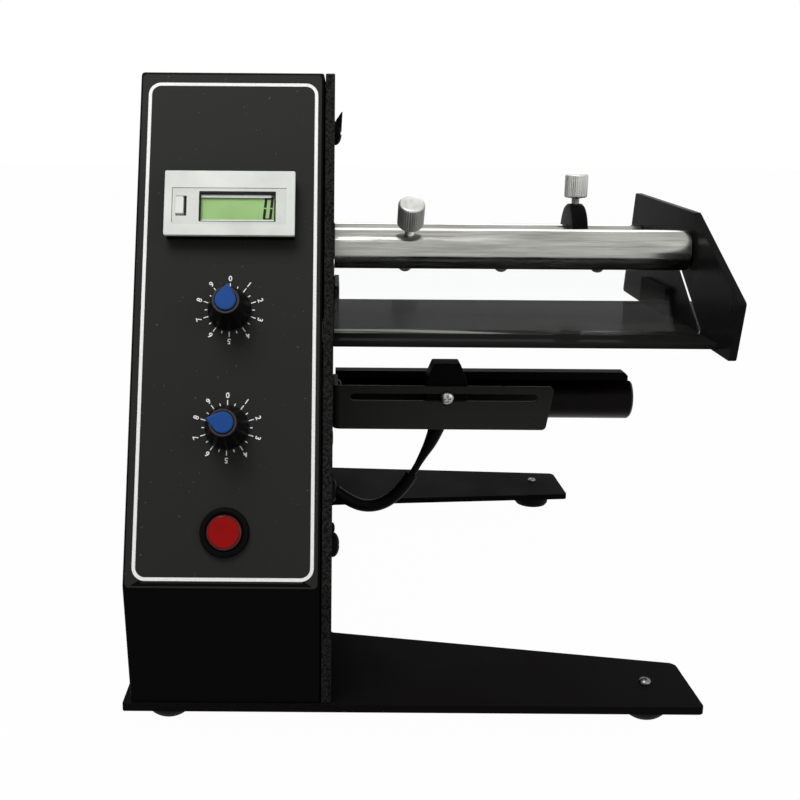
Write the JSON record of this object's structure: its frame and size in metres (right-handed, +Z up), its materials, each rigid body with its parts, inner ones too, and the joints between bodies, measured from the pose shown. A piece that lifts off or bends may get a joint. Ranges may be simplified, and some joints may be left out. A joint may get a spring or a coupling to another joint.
{
  "type": "label dispenser",
  "caption": "Table-top label dispenser: leaning control housing, peel table with press flap between rods, end plate, take-up and supply spindles, label sensor, on a C-shaped base.",
  "frame": {"origin": "on the desk, under the middle of the machine's bounding box", "axes": "+X from the housing towards the end plate, +Y from the control panel to the back, +Z up"},
  "size_m": [0.2314, 0.2775, 0.235],
  "materials": {
    "black_powder_coat": "matt black wrinkle powder coat",
    "black_paint": "satin black paint",
    "rubber": "moulded black rubber",
    "zinc": "bright zinc plate",
    "chrome": "polished",
    "knurled_steel": "nickel plated, straight knurl",
    "panel_film": "dark grey polycarbonate film",
    "silver_plastic": "silver grey moulding",
    "black_plastic": "black moulding",
    "display_green": "reflective liquid crystal display",
    "clear": "clear acrylic",
    "blue_plastic": "blue moulding",
    "red_lens": "translucent red moulding",
    "table_steel": "gloss black",
    "motor_steel": "zinc plated case",
    "brass": "plain",
    "board": "glass fibre board with components",
    "cable": "black PVC jacket",
    "aluminium": "black anodised"
  },
  "bodies": {
    "frame": {"base_plate": "black_paint", "rubber_feet": "rubber", "side_plate": "black_powder_coat", "housing_shell": "black_paint", "panel_overlay": "panel_film", "counter_bezel": "silver_plastic", "counter_case": "black_plastic", "counter_display": "display_green", "counter_window": "clear", "counter_clip": "black_plastic", "length_potentiometer": "motor_steel", "speed_potentiometer": "motor_steel", "power_switch_case": "black_plastic", "press_rod": "chrome", "rear_rod": "chrome", "rod_heads": "zinc", "peel_table": "table_steel", "end_plate": "black_paint", "drive_gearbox": "motor_steel", "drive_motor": "motor_steel", "spindle_bush": "brass", "sensor_bracket": "black_paint", "cable_grommet": "rubber", "sensor_lead": "cable", "sensor_cable": "cable", "board_rails": "black_plastic", "control_board": "board", "transformer": "motor_steel", "power_inlet": "black_plastic", "supply_axle": "zinc"},
    "takeup": {"drive_shaft": "zinc", "takeup_spindle": "aluminium"},
    "paper_clip": {"paper_clip": "black_plastic"},
    "supply": {"supply_spindle": "black_plastic"},
    "press": {"press_tube": "chrome", "press_flap": "clear"},
    "press_screw": {"press_thumbscrew": "knurled_steel"},
    "collar": {"edge_collar": "black_plastic"},
    "collar_screw": {"collar_thumbscrew": "knurled_steel"},
    "sensor": {"sensor_head": "black_plastic"},
    "sensor_lock": {"sensor_lock_screw": "zinc"},
    "length_dial": {"length_shaft": "brass", "length_knob": "black_plastic", "length_knob_cap": "blue_plastic"},
    "speed_dial": {"speed_shaft": "brass", "speed_knob": "black_plastic", "speed_knob_cap": "blue_plastic"},
    "power_button": {"power_button": "red_lens"},
    "reset_button": {"counter_reset_button": "silver_plastic"}
  },
  "joints": [
    {"name": "takeup_spin", "type": "hinge", "parent": "frame", "child": "takeup", "pos_m": [-0.0409, -0.00675, 0.0965], "axis": [1, 0, 0], "continuous": true},
    {"name": "paper_clip_pull", "type": "slide", "parent": "takeup", "child": "paper_clip", "axis": [1, 0, 0], "range_m": [0, 0.14]},
    {"name": "supply_spin", "type": "hinge", "parent": "frame", "child": "supply", "pos_m": [-0.0409, 0.11675, 0.107], "axis": [1, 0, 0], "continuous": true},
    {"name": "flap_lift", "type": "hinge", "parent": "frame", "child": "press", "pos_m": [-0.0409, -0.02755, 0.166], "axis": [-1, 0, 0], "range_deg": [0, 90]},
    {"name": "press_thumbscrew_turn", "type": "hinge", "parent": "press", "child": "press_screw", "pos_m": [-0.0094, -0.02755, 0.166], "axis": [0, -0.5678, 0.8231], "range_deg": [0, 720]},
    {"name": "collar_slide", "type": "slide", "parent": "frame", "child": "collar", "axis": [1, 0, 0], "range_m": [-0.11, 0.026]},
    {"name": "collar_thumbscrew_turn", "type": "hinge", "parent": "collar", "child": "collar_screw", "pos_m": [0.0765, 0.04535, 0.1654], "axis": [0, 0, 1], "range_deg": [0, 720]},
    {"name": "sensor_slide", "type": "slide", "parent": "frame", "child": "sensor", "axis": [1, 0, 0], "range_m": [-0.034, 0.034], "deforming": ["sensor_lead", "sensor_cable"]},
    {"name": "sensor_lock_turn", "type": "hinge", "parent": "sensor", "child": "sensor_lock", "pos_m": [0.0065, -0.04963, 0.1065], "axis": [0, -1, 0], "range_deg": [0, 720]},
    {"name": "length_dial_turn", "type": "hinge", "parent": "frame", "child": "length_dial", "pos_m": [-0.078, -0.10199, 0.15174], "axis": [0, 0.9245, -0.3811], "range_deg": [-8, 292]},
    {"name": "speed_dial_turn", "type": "hinge", "parent": "frame", "child": "speed_dial", "pos_m": [-0.078, -0.11811, 0.11264], "axis": [0, 0.9245, -0.3811], "range_deg": [-284, 16]},
    {"name": "power_button_press", "type": "slide", "parent": "frame", "child": "power_button", "axis": [0, 0.9245, -0.3811], "range_m": [0, 0.0025], "stiffness_N_per_m": 600, "springref_m": -0.001},
    {"name": "reset_button_press", "type": "slide", "parent": "frame", "child": "reset_button", "axis": [0, 0.9245, -0.3811], "range_m": [0, 0.0008], "stiffness_N_per_m": 500, "springref_m": -0.0006}
  ]
}
